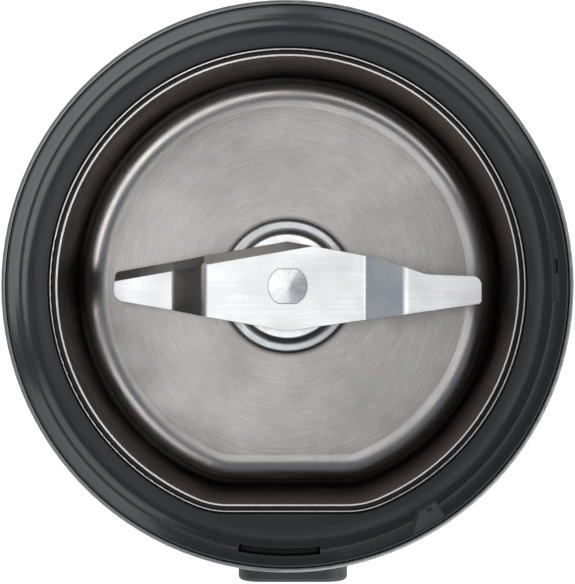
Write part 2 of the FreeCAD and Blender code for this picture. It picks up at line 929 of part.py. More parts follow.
def sheet_corners(path, thickness, inner_radius):
    """The outline of a bent sheet from its middle line and the radius inside its bends."""
    upper = []
    lower = []
    points = [Vec(u, v, 0) for u, v in path]
    for i, here in enumerate(points):
        ahead = points[min(i + 1, len(points) - 1)] - points[min(i, len(points) - 2)]
        behind = points[max(i, 1)] - points[max(i - 1, 0)]
        ahead.normalize()
        behind.normalize()
        normals = [Vec(-d.y, d.x, 0) for d in (behind, ahead)]
        reach = (normals[0] + normals[1]) * (thickness / 2 / (1 + normals[0].dot(normals[1])))
        bend = behind.cross(ahead).z
        up_radius = 0
        low_radius = 0
        if abs(bend) > 1e-6:
            up_radius = inner_radius if bend > 0 else inner_radius + thickness
            low_radius = 2 * inner_radius + thickness - up_radius
        upper.append((here.x + reach.x, here.y + reach.y, up_radius))
        lower.append((here.x - reach.x, here.y - reach.y, low_radius))
    return upper + lower[::-1]


def blade_plan():
    """The outline of the blade seen from above."""
    return upright(
        [
            (0, blade_half_width, 0.8),
            (-left_tip + 0.5, left_tip_high, 0.8),
            (-left_tip, -left_tip_low, 2.0),
            (0, -blade_half_width, 0.8),
            (right_tip, -right_tip_low, 0.7),
            (right_tip, right_tip_high, 1.6),
            (right_shoulder, right_tip_high + 0.35, 5.0),
            (right_neck, blade_half_width - right_neck_drop, 7.0),
        ],
        bowl_floor,
        ledge_z,
    )


def bevel_wedges(start, end, stations, side):
    """Wedges that grind one long edge, one for each flat stretch between the bends.

    start and end are the ends of the edge seen from above, each station gives x and the height
    of the ground face there, and side is 1 for the upper face and -1 for the lower."""
    along = Vec(end[0] - start[0], end[1] - start[1], 0)
    along.normalize()
    inward = Vec(-along.y, along.x, 0)
    if inward.y * start[1] > 0:
        inward = inward * -1
    wedges = []
    for (x0, z0), (x1, z1) in zip(stations, stations[1:]):
        slope = (z1 - z0) / (x1 - x0)
        wires = []
        for x in (x0, x1):
            share = (x - start[0]) / (end[0] - start[0])
            edge = Vec(x, start[1] + share * (end[1] - start[1]), 0)
            inner = edge + inward * blade_bevel
            outer = edge - inward * 0.5 * blade_bevel
            drop = side * 1.5 * (blade_thickness - blade_edge_land)
            lift = side * blade_edge_land
            inner_z = z0 + slope * (inner.x - x0)
            outer_z = z0 + slope * (outer.x - x0)
            corners = [
                inner + UP * inner_z,
                outer + UP * (outer_z - drop),
                outer + UP * (outer_z + lift),
                inner + UP * (inner_z + lift),
            ]
            wires.append(Part.makePolygon(corners + corners[:1]))
        wedges.append(Part.makeLoft(wires, True, True))
    return wedges


def blade():
    """Two-winged blade: one wing cranked down, one bent up, each with one ground edge."""
    reach = 2 * blade_half_width
    sheet = across(sheet_corners(blade_path(), blade_thickness, blade_bend_radius), -reach, reach)
    body = sheet.common(blade_plan())
    surface = [(x, z) for x, z, rounding in sheet_corners(blade_path(), blade_thickness, 0)]
    half = len(surface) // 2
    upper = surface[:half]
    lower = surface[:half - 1:-1]
    left_edge = ((0, blade_half_width), (-left_tip + 0.5, left_tip_high))
    right_edge = ((0, -blade_half_width), (right_tip, -right_tip_low))
    wedges = bevel_wedges(*left_edge, [(bevel_runout, blade_top)] + upper[2::-1], 1)
    wedges += bevel_wedges(*right_edge, [(-bevel_runout, blade_bottom)] + lower[3:], -1)
    return body.cut(wedges + [keyed_bore(blade_bottom - 1, blade_top + 1)])


def dogs(z0, z1, first):
    """The driving dogs of one half of the coupling."""
    return round_copies(sector(dog_inner, dog_outer, z0, z1, 0, dog_span), dog_count, first)


def driven_coupling():
    """The bowl's half of the coupling, with its dogs pointing down."""
    plate = rod(dog_outer, driven_bottom, driven_top)
    half = plate.fuse(dogs(driven_bottom - dog_height, driven_bottom, 180.0 / dog_count))
    return half.cut(keyed_bore(driven_bottom - 1, driven_top + 1))


def coupling_nut():
    """Small nut that holds the coupling on the spindle."""
    nut = hexagon(coupling_nut_flats, driven_bottom - coupling_nut_height, driven_bottom)
    return nut.cut(rod(thread_radius + press_clearance, 0, driven_bottom + 1))


# Rotor

def drive_coupling():
    """The motor's half of the coupling, with its dogs pointing up."""
    low = bracket_top + gap
    hub = turned(
        [
            (0, low, 0),
            (dog_outer - 2.0, low, 0),
            (dog_outer - 2.0, drive_face - 2.4, 0),
            (dog_outer, drive_face - 2.0, 0),
            (dog_outer, drive_face, 0),
            (0, drive_face, 0),
        ]
    )
    bore = rod(shaft_radius + press_clearance, 0, drive_face - contact_gap - shaft_cover)
    return hub.fuse(dogs(drive_face, drive_top, 0)).cut(bore)


def motor_shaft():
    """Straight ground shaft from the fan to the coupling."""
    low = fan_bottom - shaft_end
    high = drive_face - 2 * contact_gap - shaft_cover
    return turned(
        [
            (0, low, 0),
            (shaft_radius, low, 0.4),
            (shaft_radius, high, 0.4),
            (0, high, 0),
        ]
    )


def armature_core():
    """Slotted lamination stack."""
    core = tube(armature_radius, shaft_radius + press_clearance, stack_bottom, stack_top)
    half = slot_opening / 2
    mouth = box(slot_circle, armature_radius + 1, -half, half, stack_bottom, stack_top)
    cut = mouth.fuse(rod(slot_round, stack_bottom, stack_top, slot_circle))
    return core.cut(round_copies(cut, armature_slots))


def armature_windings():
    """End turns above and below the stack, joined through the slots."""
    inner = shaft_radius + 1.4
    parts = []
    for low, high in ((lower_winding_bottom, stack_bottom), (stack_top, upper_winding_top)):
        corners = [
            (inner, low, 0.8),
            (winding_radius, low, 1.4),
            (winding_radius, high, 1.0),
            (inner, high, 0.8),
        ]
        parts.append(turned(corners))
    bar = rod(slot_round - 2 * press_clearance, stack_bottom - 1, stack_top + 1, slot_circle)
    return parts[0].fuse(parts[1:] + round_copies(bar, armature_slots))


def commutator():
    """Segmented copper ring."""
    ring = tube(commutator_radius, shaft_radius + press_clearance, commutator_bottom, commutator_top)
    groove = box(
        commutator_radius - 0.8,
        commutator_radius + 1,
        -commutator_groove / 2,
        commutator_groove / 2,
        commutator_bottom - 1,
        commutator_top + 1,
    )
    return ring.cut(round_copies(groove, armature_slots))


def cooling_fan():
    """Radial fan with swept blades under a disc."""
    disc = tube(fan_radius, shaft_radius + press_clearance, fan_top - fan_disc, fan_top)
    hub = tube(fan_hub, shaft_radius + press_clearance, fan_bottom, fan_top)
    sweep = 0.8 * fan_radius
    outer_arc = tube(sweep, sweep - 1.0, fan_bottom, fan_top - fan_disc, sweep * 0.94, -sweep * 0.34)
    reach = tube(fan_radius - 0.3, fan_hub - 0.4, fan_bottom, fan_top - fan_disc)
    curved = outer_arc.common(reach).common(box(-5, fan_radius, 0, fan_radius, 0, rim_height))
    return disc.fuse([hub] + round_copies(curved, fan_blades))


# Motor frame

def bearing(low, high):
    """A self-aligning bush: round outside, straight bore."""
    return turned(
        [
            (shaft_radius + running_clearance, low, 0),
            (bearing_radius - bearing_bulge, low, 0),
            (bearing_radius, low + 0.3 * (high - low), 0.6),
            (bearing_radius, high - 0.3 * (high - low), 0.6),
            (bearing_radius - bearing_bulge, high, 0),
            (shaft_radius + running_clearance, high, 0),
        ]
    )


def upper_bearing():
    """Bush in the upper bracket."""
    return bearing(upper_bearing_bottom, bracket_top)


def lower_bearing():
    """Bush in the lower bracket."""
    return bearing(lower_bracket_bottom, lower_bearing_top)


def bracket(plate_low, hub_low, hub_high, post_low, post_high):
    """A bracket with four arms, a bearing hub and four posts that meet the stator."""
    plate_high = plate_low + bracket_thickness
    parts = [rod(bracket_hub_radius, hub_low, hub_high)]
    reach = math.hypot(motor_screw_x, motor_screw_y)
    lean = math.degrees(math.atan2(motor_screw_y, motor_screw_x))
    for turn in (lean, -lean):
        arm = box(-reach, reach, -bracket_arm / 2, bracket_arm / 2, plate_low, plate_high)
        arm.rotate(Vec(0, 0, 0), UP, turn)
        parts.append(arm)
    for x, y in motor_screw_places():
        parts.append(rod(bracket_arm / 2, plate_low, plate_high, x, y))
        parts.append(rod(post_radius, post_low, post_high, x, y))
    holes = [rod(bearing_radius + press_clearance, hub_low - 1, hub_high + 1)]
    for x, y in motor_screw_places():
        holes.append(rod(motor_screw_radius + press_clearance, 0, rim_height, x, y))
    return parts[0].fuse(parts[1:]), holes


def motor_bracket_upper():
    """Bracket under the motor deck."""
    low = bracket_top - bracket_thickness
    body, holes = bracket(low, upper_bearing_bottom, bracket_top, stack_top, low)
    return body.cut(holes)


def motor_bracket_lower():
    """Bracket that also carries the brush gear."""
    low = lower_bracket_bottom
    body, holes = bracket(low, low, lower_bearing_top, lower_bracket_top, stack_bottom)
    half = brush_width / 2 + holder_wall + 1.0
    reach = holder_end() - 2.0
    bar = box(-reach, reach, -half, half, low, lower_bracket_top)
    body = body.fuse(bar)
    for side in (-1, 1):
        ends = sorted((side * (bracket_hub_radius + 3.5), side * reach))
        body = body.fuse(box(ends[0], ends[1], -half, half, lower_bracket_top - 0.5, holder_bottom()))
    return body.cut(holes)


def stator_core():
    """Laminated field: a yoke and two poles with wide shoes."""
    half_x = stator_width / 2
    half_y = stator_length / 2
    inside_x = half_x - stator_yoke
    inside_y = half_y - stator_yoke
    frame = upright(
        [(sx * half_x, sy * half_y, stator_round) for sx, sy in ((-1, -1), (1, -1), (1, 1), (-1, 1))],
        stack_bottom,
        stack_top,
    )
    window = upright(
        [(sx * inside_x, sy * inside_y, 3.0) for sx, sy in ((-1, -1), (1, -1), (1, 1), (-1, 1))],
        stack_bottom - 1,
        stack_top + 1,
    )
    core = frame.cut(window)
    for side in (-1, 1):
        ends = sorted((side * (stator_bore + 1), side * (inside_y + 1)))
        pole = box(-pole_width / 2, pole_width / 2, ends[0], ends[1], stack_bottom, stack_top)
        shoe_args = (stack_bottom, stack_top, side * front_angle, pole_span)
        shoe = sector(stator_bore, stator_bore + pole_shoe, *shoe_args)
        core = core.fuse([pole, shoe])
    corner_lands = []
    for x, y in motor_screw_places():
        corner_lands.append(rod(post_radius, stack_bottom, stack_top, x, y))
    core = core.fuse(corner_lands)
    holes = [rod(stator_bore, stack_bottom - 1, stack_top + 1)]
    for x, y in motor_screw_places():
        holes.append(rod(motor_screw_radius + pin_clearance, stack_bottom - 1, stack_top + 1, x, y))
    return core.cut(holes)


def field_coils():
    """Two flat coils round the poles."""
    near = stator_bore + pole_shoe + gap
    far = stator_length / 2 - stator_yoke - gap
    half = pole_width / 2 + pin_clearance
    hole_low = stack_bottom - pin_clearance
    hole_high = stack_top + pin_clearance
    hole = rounded_block(0, 2 * half, hole_low, hole_high, pin_clearance, near - 1, far + 1)
    coil_low = stack_bottom - field_coil_end
    coil_high = stack_top + field_coil_end
    corner = 0.6 * field_coil_width
    outline = rounded_block(0, 2 * (half + field_coil_width), coil_low, coil_high, corner, near, far)
    coil_back = outline.cut(hole)
    coil_front = coil_back.mirror(Vec(0, 0, 0), Vec(0, 1, 0))
    return Part.makeCompound([coil_back, coil_front])


def motor_screws():
    """Long screws through both brackets and the stator into the motor deck."""
    screws = []
    for x, y in motor_screw_places():
        head_low = lower_bracket_bottom - motor_screw_head_height
        head = rod(motor_screw_head, head_low, lower_bracket_bottom, x, y)
        shank = rod(motor_screw_radius, lower_bracket_bottom, deck_top - 2 * gap, x, y)
        screws.append(head.fuse(shank))
    return Part.makeCompound(screws)


def motor_isolators():
    """Rubber washers between the motor and the housing."""
    washers = []
    for x, y in motor_screw_places():
        bore = motor_screw_radius + pin_clearance
        washers.append(tube(isolator_radius, bore, bracket_top, deck_under, x, y))
    return Part.makeCompound(washers)


def brush_level():
    """Height of the brushes' axis."""
    return (commutator_bottom + commutator_top) / 2


def brush_start():
    """Distance of a brush's tip from the shaft's axis."""
    return commutator_radius + pin_clearance


def holder_end():
    """Distance of a brush holder's closed end from the shaft's axis."""
    return brush_start() + brush_length + brush_spring_length + holder_wall


def holder_bottom():
    """Height of a brush holder's underside."""
    return brush_level() - brush_height / 2 - press_clearance - holder_wall


def brush_holders():
    """Brass boxes, closed at the outer end, that the brushes slide in."""
    half = brush_width / 2 + press_clearance
    low = holder_bottom()
    high = 2 * brush_level() - low
    start = commutator_radius + holder_setback
    body = box(start, holder_end(), -half - holder_wall, half + holder_wall, low, high)
    room = box(start - 1, holder_end() - holder_wall, -half, half, low + holder_wall, high - holder_wall)
    holder = body.cut(room)
    return Part.makeCompound([holder, mirrored_x(holder)])


def carbon_brushes():
    """Two brushes that bear on the commutator."""
    half_width = brush_width / 2
    half_height = brush_height / 2
    start = brush_start()
    low = brush_level() - half_height
    high = brush_level() + half_height
    brush = box(start, start + brush_length, -half_width, half_width, low, high)
    return Part.makeCompound([brush, mirrored_x(brush)])


def brush_springs():
    """Springs behind the brushes."""
    spring = coil(0.42 * brush_height, 0.4, brush_spring_length, 5)
    spring.rotate(Vec(0, 0, 0), Vec(0, 1, 0), 90)
    spring.translate(Vec(brush_start() + brush_length, 0, brush_level()))
    return Part.makeCompound([spring, mirrored_x(spring)])


def suppression_capacitor():
    """Moulded capacitor that stands on the base plate beside the fan."""
    outer = outer_radius - base_wall - slide_clearance - barrel_wall - capacitor_inset
    half = capacitor_length / 2
    corners = [(-outer, -half, 0.6), (-outer + capacitor_width, -half, 0.6)]
    corners += [(-outer + capacitor_width, half, 0.6), (-outer, half, 0.6)]
    return upright(corners, plate_top, plate_top + capacitor_height)


# Start button

def start_button():
    """Hollow gloss cap with a crowned face, a stem for the switch and two hooks."""
    inner_y = guide_outer_y - button_travel - gap
    block = rounded_block(
        button_x, button_width, button_bottom, button_top, button_corner, button_front_y, inner_y
    )
    face_edges = [e for e in block.Edges if e.BoundBox.YMax < button_front_y + 0.01]
    block = block.makeFillet(button_crown, face_edges)
    hollow = rounded_block(
        button_x,
        button_width - 2 * button_wall,
        button_bottom + button_wall,
        button_top - button_wall,
        button_corner - button_wall,
        button_front_y + button_wall,
        inner_y + 1,
    )
    cap = block.cut(hollow)
    back = button_front_y + button_wall - 0.2
    parts = [rod_y(stem_radius, back, stem_tip_y, button_x, stem_z)]
    for side in (-1, 1):
        near = button_x + side * (hook_offset - hook_thickness / 2)
        far = button_x + side * (hook_offset + hook_thickness / 2)
        barb = far + side * hook_barb
        low = stem_z - hook_height / 2
        high = stem_z + hook_height / 2
        arm_x = sorted((near, far))
        barb_x = sorted((near, barb))
        parts.append(box(arm_x[0], arm_x[1], back, guide_inner_y + 0.9, low, high))
        parts.append(box(barb_x[0], barb_x[1], guide_inner_y + 0.1, guide_inner_y + 0.9, low, high))
    return cap.fuse(parts)


def button_guide():
    """Plate in the barrel's window that guides the button's stem and hooks."""
    width = button_width + 2 * guide_overhang - 0.1
    plate = rounded_block(
        button_x, width, guide_bottom + 0.05, guide_top - 0.05, button_corner, guide_outer_y, guide_inner_y
    )
    holes = [rod_y(stem_radius + slide_clearance, guide_outer_y - 1, guide_inner_y + 1, button_x, stem_z)]
    for side in (-1, 1):
        x = button_x + side * hook_offset
        half = hook_thickness / 2 + slide_clearance
        low = stem_z - hook_height / 2 - slide_clearance
        high = stem_z + hook_height / 2 + slide_clearance
        holes.append(box(x - half, x + half, guide_outer_y - 1, guide_inner_y + 1, low, high))
    return plate.cut(holes)


def button_spring():
    """Coil between the guide plate and the inside of the button."""
    length = guide_outer_y - (button_front_y + button_wall)
    spring = coil(button_spring_radius, button_spring_wire, length, button_spring_turns)
    spring.rotate(Vec(0, 0, 0), Vec(1, 0, 0), 90)
    spring.translate(Vec(button_x, guide_outer_y, button_mid + 2.0))
    return spring


def start_switch():
    """Flat switch on the outside of the socket, with a hole for its plunger."""
    low = stem_z - start_switch_height / 2
    high = stem_z + start_switch_height / 2
    half = switch_width / 2
    body = box(button_x - half, button_x + half, switch_front_y, socket_flat_y, low, high)
    depth = switch_front_y + button_travel + floor_clearance
    bore = start_plunger_radius + pin_clearance
    return body.cut(rod_y(bore, switch_front_y - 1, depth, button_x, stem_z))


def start_switch_plunger():
    """Small pin that the button's stem pushes into the switch."""
    return rod_y(start_plunger_radius, stem_tip_y + contact_gap, switch_front_y + gap, button_x, stem_z)


# Lid interlock

def interlock_plunger():
    """Sprung slider below the slot in the wall: head, inward step and leg."""
    inner = slot_inner + slider_clearance
    outer = slot_inner + slot_width - slider_clearance
    span = slot_span - math.degrees(2 * slide_clearance / slot_inner)
    bridge_top = interlock_under + interlock_bridge
    bridge_inner = -socket_flat_y + interlock_leg_thickness / 2
    head = sector(inner, outer, interlock_under, interlock_top, slot_angle, span)
    bridge = sector(bridge_inner, outer, interlock_under, bridge_top, slot_angle, span)
    leg_y = interlock_spring_y()
    half = interlock_leg_thickness / 2
    leg = box(
        interlock_x - interlock_leg_width / 2,
        interlock_x + interlock_leg_width / 2,
        leg_y - half,
        leg_y + half,
        leg_bottom,
        bridge_top - interlock_bridge / 4,
    )
    return head.fuse([bridge, leg])


def interlock_spring_y():
    """The middle of the room between the socket and the guide plate."""
    return (socket_flat_y + guide_inner_y) / 2


def interlock_springs():
    """Two small coils under the slider's step."""
    springs = []
    length = interlock_under - interlock_switch_top
    for side in (-1, 1):
        spring = coil(interlock_spring_radius, interlock_spring_wire, length, interlock_spring_turns)
        x = interlock_x + side * interlock_spring_offset
        spring.translate(Vec(x, interlock_spring_y(), interlock_switch_top))
        springs.append(spring)
    return Part.makeCompound(springs)


def interlock_switch():
    """Flat switch below the slider, with a hole for its plunger."""
    half = switch_width / 2
    low = interlock_switch_top - interlock_switch_height
    body = box(
        interlock_x - half, interlock_x + half, switch_front_y, socket_flat_y, low, interlock_switch_top
    )
    x = interlock_x
    depth = interlock_switch_top - interlock_travel - floor_clearance
    hole_y = (switch_front_y + socket_flat_y) / 2
    bore = interlock_plunger_radius + pin_clearance
    return body.cut(rod(bore, depth, interlock_switch_top + 1, x, hole_y))


def interlock_switch_plunger():
    """Small pin that the slider's leg pushes into the switch."""
    y = (switch_front_y + socket_flat_y) / 2
    low = interlock_switch_top - gap
    return rod(interlock_plunger_radius, low, leg_bottom - contact_gap, interlock_x, y)


pieces = {
    "base_cover": base_cover,
    "base_foot_ring": base_foot_ring,
    "base_screws": base_screws,
    "cord_inlet_bush": cord_inlet_bush,
    "housing_shell": housing_shell,
    "motor_deck": motor_deck,
    "body_sleeve": body_sleeve,
    "top_collar": top_collar,
    "motor_bracket_upper": motor_bracket_upper,
    "motor_bracket_lower": motor_bracket_lower,
    "upper_bearing": upper_bearing,
    "lower_bearing": lower_bearing,
    "stator_core": stator_core,
    "field_coils": field_coils,
    "motor_screws": motor_screws,
    "motor_isolators": motor_isolators,
    "brush_holders": brush_holders,
    "carbon_brushes": carbon_brushes,
    "brush_springs": brush_springs,
    "suppression_capacitor": suppression_capacitor,
    "motor_shaft": motor_shaft,
    "armature_core": armature_core,
    "armature_windings": armature_windings,
    "commutator": commutator,
    "cooling_fan": cooling_fan,
    "drive_coupling": drive_coupling,
    "grinding_bowl": grinding_bowl,
    "bowl_base": bowl_base,
    "bearing_housing": bearing_housing,
    "bearing_nut": bearing_nut,
    "hub_cap": hub_cap,
    "spindle_bush": spindle_bush,
    "spindle_seal": spindle_seal,
    "blade": blade,
    "blade_spindle": blade_spindle,
    "blade_spacer": blade_spacer,
    "driven_coupling": driven_coupling,
    "coupling_nut": coupling_nut,
    "start_button": start_button,
    "button_guide": button_guide,
    "button_spring": button_spring,
    "start_switch": start_switch,
    "start_switch_plunger": start_switch_plunger,
    "interlock_plunger": interlock_plunger,
    "interlock_springs": interlock_springs,
    "interlock_switch": interlock_switch,
    "interlock_switch_plunger": interlock_switch_plunger,
}

os.makedirs("parts", exist_ok=True)
for name, make in pieces.items():
    shape = make()
    shape.exportStep("parts/" + name + ".step")
    print(name, len(shape.Solids), "solids", shape.isValid(), round(shape.Volume, 1))
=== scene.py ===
import bpy
import json
import math
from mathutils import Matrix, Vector


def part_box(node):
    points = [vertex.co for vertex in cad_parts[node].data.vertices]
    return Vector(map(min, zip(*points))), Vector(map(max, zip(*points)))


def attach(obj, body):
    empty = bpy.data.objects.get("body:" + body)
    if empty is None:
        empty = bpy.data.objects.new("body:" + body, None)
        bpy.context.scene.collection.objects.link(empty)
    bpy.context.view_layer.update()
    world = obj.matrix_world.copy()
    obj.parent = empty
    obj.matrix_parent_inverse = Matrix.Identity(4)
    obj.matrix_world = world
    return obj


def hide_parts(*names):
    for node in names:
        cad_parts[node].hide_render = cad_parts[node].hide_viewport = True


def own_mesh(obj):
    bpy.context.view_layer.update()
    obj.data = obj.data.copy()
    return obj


# An electric spice grinder on a pale studio floor, seen straight from above. Metres, +Z up,
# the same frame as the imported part.

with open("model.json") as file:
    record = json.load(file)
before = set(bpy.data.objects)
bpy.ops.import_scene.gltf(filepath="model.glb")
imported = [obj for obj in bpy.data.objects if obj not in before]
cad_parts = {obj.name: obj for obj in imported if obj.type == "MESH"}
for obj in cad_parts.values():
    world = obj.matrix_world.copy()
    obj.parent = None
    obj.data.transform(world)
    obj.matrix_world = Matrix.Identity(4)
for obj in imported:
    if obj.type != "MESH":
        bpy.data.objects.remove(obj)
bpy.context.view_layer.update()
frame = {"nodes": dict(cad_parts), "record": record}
nodes = frame["nodes"]

# View
picture_height_px = 584
rim_scale = 0.157e-3  # metres a pixel, at the rim
camera_distance = 0.340  # above the rim
sensor_height_mm = 36.0
object_rise_px = 5.8
nearest_view = 0.01

# Light
world_color = (0.97, 0.98, 1.0)
world_level = 0.36
backdrop_top = 0.22  # this and the next are the Z of a unit direction
ceiling_start = 0.42
ceiling_color = (0.30, 0.33, 0.39)
lamps = (  # name, place, width, height, radiance
    ("overhead", (-0.2, 0.05, 1.2), 0.85, 0.7, 1.15),
    ("key", (0.86, -0.73, 0.775), 2.2, 1.0, 2.7),
    ("fill", (-0.62, -0.93, 0.62), 1.1, 0.9, 1.5),
    ("rear", (0.85, 0.74, 0.8), 0.8, 0.9, 1.7),
)

# Floor
floor_reach = 3.0
floor_white = 0.86
floor_glow = 0.45
floor_roughness = 0.9
floor_specular = 0.2

# Sleeve and collar. The wall of the collar's lid well widens a little towards the rim.
rim_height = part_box("body_sleeve")[1].z
outer_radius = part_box("body_sleeve")[1].x
lip_height = rim_height - 0.0006
lip_fade = 0.0002
lip_tone = 0.55
ledge_height = rim_height - 0.012
ledge_margin = 0.0002
ledge_fade = 0.0012
ledge_dulling = 0.38
well_radius = outer_radius - 0.00165
well_flare = 0.00075
flare_low = rim_height - 0.0035
flare_high = rim_height - 0.0008
lean_start = outer_radius - 0.0057
lean_full = outer_radius - 0.005
wall_lean = 1.3

# Bowl: the channel in its rim and the ridges beside it
channel_height = 0.1123
channel_margin = 0.0001
channel_fade = 0.0002
channel_tone = 0.03
# Painted shade: grooves narrow against this reach are darkened towards the next tone
groove_reach = 0.001
groove_shade_tone = 0.05
# Painted highlight: above these heights the tops of the ridges are brightened by the next factor
ridge_low = channel_height + 0.0006
ridge_high = channel_height + 0.00075
ridge_highlight_tone = 1.75
bowl_grazing_tint = (0.3, 0.265, 0.24)
# Painted shade: the inside of the bowl's wall is darkened towards this multiple of its colour
inner_wall_shade_tone = 0.4
inner_wall_share = 0.2  # of the usual colour, kept on the inner wall
flat_start = 0.5  # this and the next are the Z of a normal
flat_full = 0.9
groove_closed = 0.55  # this and the next are shares of open sky
groove_open = 0.95

# What a noise texture's values mostly lie between
noise_low = 0.3
noise_high = 0.7

surface_ior = 1.5
sheet_thickness = 0.0005
axis_clearance = 0.0005
open_samples = 8
bevel_samples = 6

# The sockets of a mix node for colours, whose names repeat
MIX_COLOR_A = 6
MIX_COLOR_B = 7
MIX_COLOR_RESULT = 2


# Materials

class Finish:
    """One material and short calls for the nodes that feed its surface."""

    def __init__(self, name, color, metallic=0.0, roughness=0.5):
        self.material = bpy.data.materials.new(name)
        self.material.use_nodes = True
        self.tree = self.material.node_tree
        self.surface = self.tree.nodes["Principled BSDF"]
        self.color = color
        self.set("Base Color", (*color, 1))
        self.set("Metallic", metallic)
        self.set("Roughness", roughness)
        self.set("IOR", surface_ior)
        self.coordinates = self.node("ShaderNodeTexCoord").outputs["Object"]

    def node(self, kind, **settings):
        made = self.tree.nodes.new(kind)
        for key, value in settings.items():
            setattr(made, key, value)
        return made

    def link(self, source, target):
        self.tree.links.new(source, target)

    def set(self, socket, value):
        self.surface.inputs[socket].default_value = value

    def math(self, operation, first, second=0.0):
        made = self.node("ShaderNodeMath", operation=operation)
        for place, value in enumerate((first, second)):
            if isinstance(value, (int, float)):
                made.inputs[place].default_value = value
            else:
                self.link(value, made.inputs[place])
        return made.outputs[0]

    def product(self, first, *others):
        for other in others:
            first = self.math("MULTIPLY", first, other)
        return first

    def axes(self, vector):
        """The X, Y and Z of a vector."""
        parts = self.node("ShaderNodeSeparateXYZ")
        self.link(vector, parts.inputs[0])
        return parts.outputs

    def radius(self, x, y):
        """Distance from the Z axis."""
        return self.math("SQRT", self.math("ADD", self.product(x, x), self.product(y, y)))

    def scaled(self, factors):
        """Object coordinates times one factor an axis."""
        made = self.node("ShaderNodeVectorMath", operation="MULTIPLY")
        self.link(self.coordinates, made.inputs[0])
        made.inputs[1].default_value = factors
        return made.outputs[0]

    def around_z(self, turn_scale, height_scale, radius_scale):
        """Coordinates that change slowly round Z, for grain that runs round the body."""
        x, y, z = self.axes(self.coordinates)
        radius = self.radius(x, y)
        safe = self.math("MAXIMUM", radius, axis_clearance)
        joined = self.node("ShaderNodeCombineXYZ")
        self.link(self.product(self.math("DIVIDE", x, safe), turn_scale), joined.inputs[0])
        self.link(self.product(self.math("DIVIDE", y, safe), turn_scale), joined.inputs[1])
        rings = self.math("ADD", self.product(z, height_scale), self.product(radius, radius_scale))
        self.link(rings, joined.inputs[2])
        return joined.outputs[0]

    def noise(self, vector, scale=1.0, detail=3.0, rough=0.5):
        made = self.node("ShaderNodeTexNoise")
        made.inputs["Scale"].default_value = scale
        made.inputs["Detail"].default_value = detail
        made.inputs["Roughness"].default_value = rough
        self.link(vector, made.inputs["Vector"])
        return made.outputs["Fac"]

    def span(self, value, low, high, low_in=noise_low, high_in=noise_high):
        """A value brought from low_in..high_in to low..high, and held there beyond."""
        made = self.node("ShaderNodeMapRange")
        made.inputs["From Min"].default_value = low_in
        made.inputs["From Max"].default_value = high_in
        made.inputs["To Min"].default_value = low
        made.inputs["To Max"].default_value = high
        self.link(value, made.inputs["Value"])
        return made.outputs["Result"]

    def vary_color(self, value, low, high):
        """Base colour between two multiples of the finish's own colour."""
        ramp = self.node("ShaderNodeValToRGB")
        steps = ((noise_low, low), (noise_high, high))
        for end, (position, factor) in zip(ramp.color_ramp.elements, steps):
            end.position = position
            end.color = (*(c * factor for c in self.color), 1)
        self.link(value, ramp.inputs["Fac"])
        self.link(ramp.outputs["Color"], self.surface.inputs["Base Color"])

    def tone(self, share, factor):
        """Brings the base colour to a multiple of the finish's own where the share is 0."""
        made = self.node("ShaderNodeMix", data_type="RGBA", blend_type="MIX")
        target = self.surface.inputs["Base Color"]
        self.link(share, made.inputs["Factor"])
        made.inputs[MIX_COLOR_A].default_value = (*(c * factor for c in self.color), 1)
        self.link(target.links[0].from_socket, made.inputs[MIX_COLOR_B])
        self.link(made.outputs[MIX_COLOR_RESULT], target)

    def vary_roughness(self, value, low, high):
        self.link(self.span(value, low, high), self.surface.inputs["Roughness"])

    def soft_edges(self, radius):
        """The small rounding that a real edge has."""
        made = self.node("ShaderNodeBevel", samples=bevel_samples)
        made.inputs["Radius"].default_value = radius
        self.link(made.outputs["Normal"], self.surface.inputs["Normal"])

    def lean_up(self, amount):
        """Turns the softened shading of steep faces upwards by an amount from 0 up."""
        upward = self.node("ShaderNodeCombineXYZ")
        self.link(amount, upward.inputs[2])
        total = self.node("ShaderNodeVectorMath", operation="ADD")
        target = self.surface.inputs["Normal"]
        self.link(target.links[0].from_socket, total.inputs[0])
        self.link(upward.outputs[0], total.inputs[1])
        unit = self.node("ShaderNodeVectorMath", operation="NORMALIZE")
        self.link(total.outputs[0], unit.inputs[0])
        self.link(unit.outputs[0], target)

    def bump(self, height, distance):
        """Relief of a given depth, added to what is there already."""
        made = self.node("ShaderNodeBump")
        made.inputs["Distance"].default_value = distance
        made.inputs["Strength"].default_value = 1.0
        self.link(height, made.inputs["Height"])
        target = self.surface.inputs["Normal"]
        if target.links:
            self.link(target.links[0].from_socket, made.inputs["Normal"])
        self.link(made.outputs["Normal"], target)

    def open_share(self, reach):
        """One on open faces and less in grooves that are narrow against the reach."""
        made = self.node("ShaderNodeAmbientOcclusion", samples=open_samples)
        made.inputs["Distance"].default_value = reach
        return made.outputs["AO"]


def moulded_plastic(name, color, roughness, grain_size, grain_depth):
    """Plastic with a fine spark-eroded grain."""
    finish = Finish(name, color, roughness=roughness)
    finish.soft_edges(radius=0.00025)
    grain = finish.noise(finish.coordinates, scale=1 / grain_size, detail=2.0, rough=0.6)
    cloud = finish.noise(finish.coordinates, scale=40.0)
    finish.vary_color(cloud, low=0.85, high=1.2)
    finish.vary_roughness(cloud, low=roughness - 0.06, high=roughness + 0.08)
    finish.bump(grain, grain_depth)
    return finish.material


